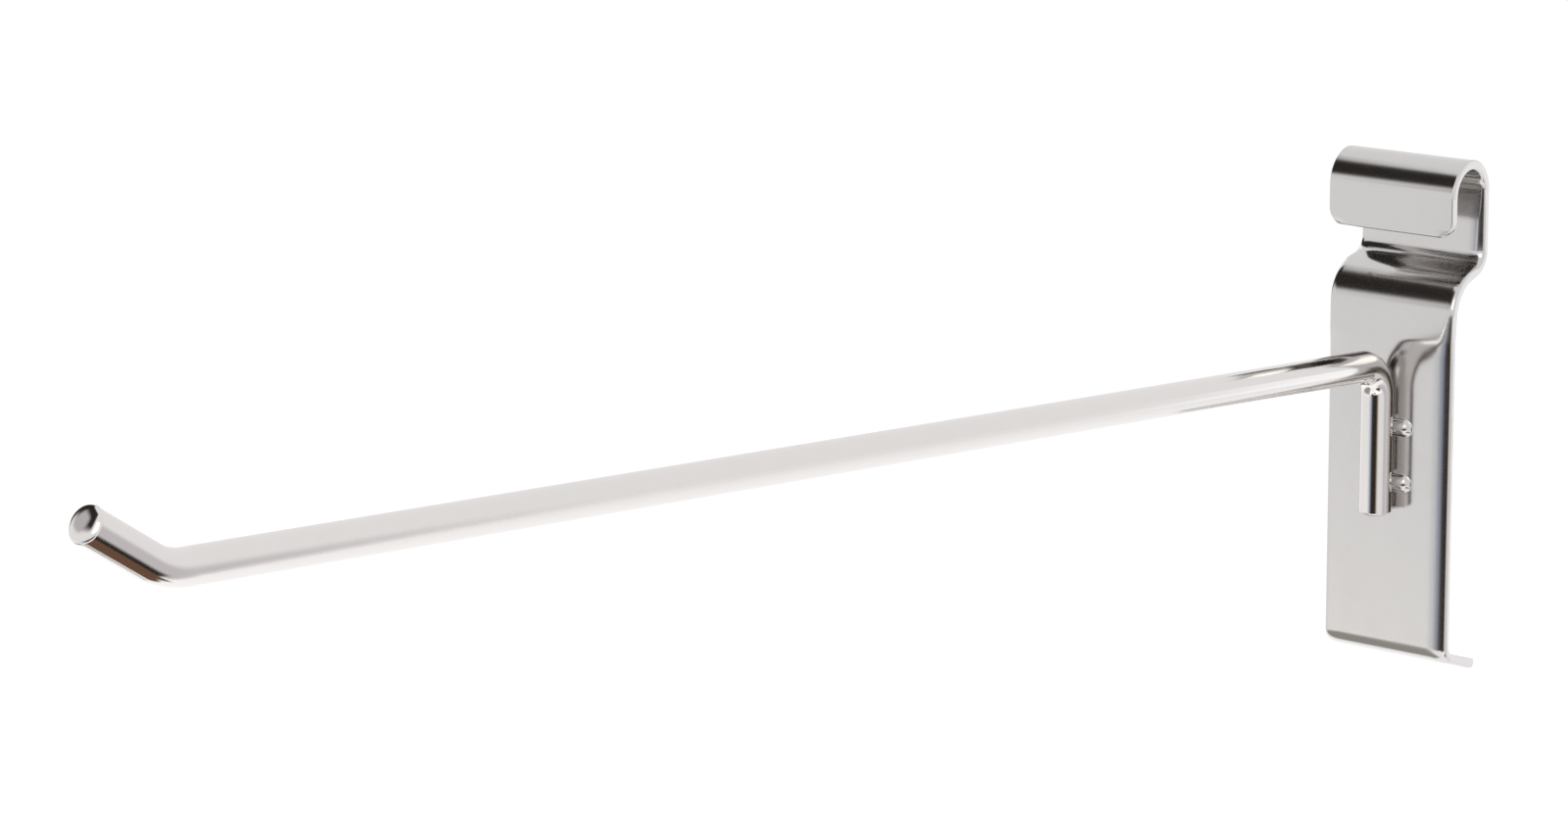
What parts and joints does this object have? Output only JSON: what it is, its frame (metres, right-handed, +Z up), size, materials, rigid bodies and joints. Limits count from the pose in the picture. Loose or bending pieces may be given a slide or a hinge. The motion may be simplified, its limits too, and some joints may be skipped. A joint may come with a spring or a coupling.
{
  "type": "gridwall hook",
  "caption": "Display hook for a grid panel: a folded metal plate with an arch that drops over a panel wire, and a long round rod arm with an upturned tip.",
  "frame": {"origin": "axis of the half-round arch that drops over the panel's wire, in the middle of the plate's width", "axes": "+X along the panel's wire, across the plate; -Y out of the panel, the way the arm points; +Z up"},
  "size_m": [0.0244, 0.3143, 0.0921],
  "materials": {
    "back_plate": "polished",
    "wire_arm": "polished"
  },
  "bodies": {
    "root": {"back_plate": "back_plate", "wire_arm": "wire_arm"}
  },
  "joints": []
}
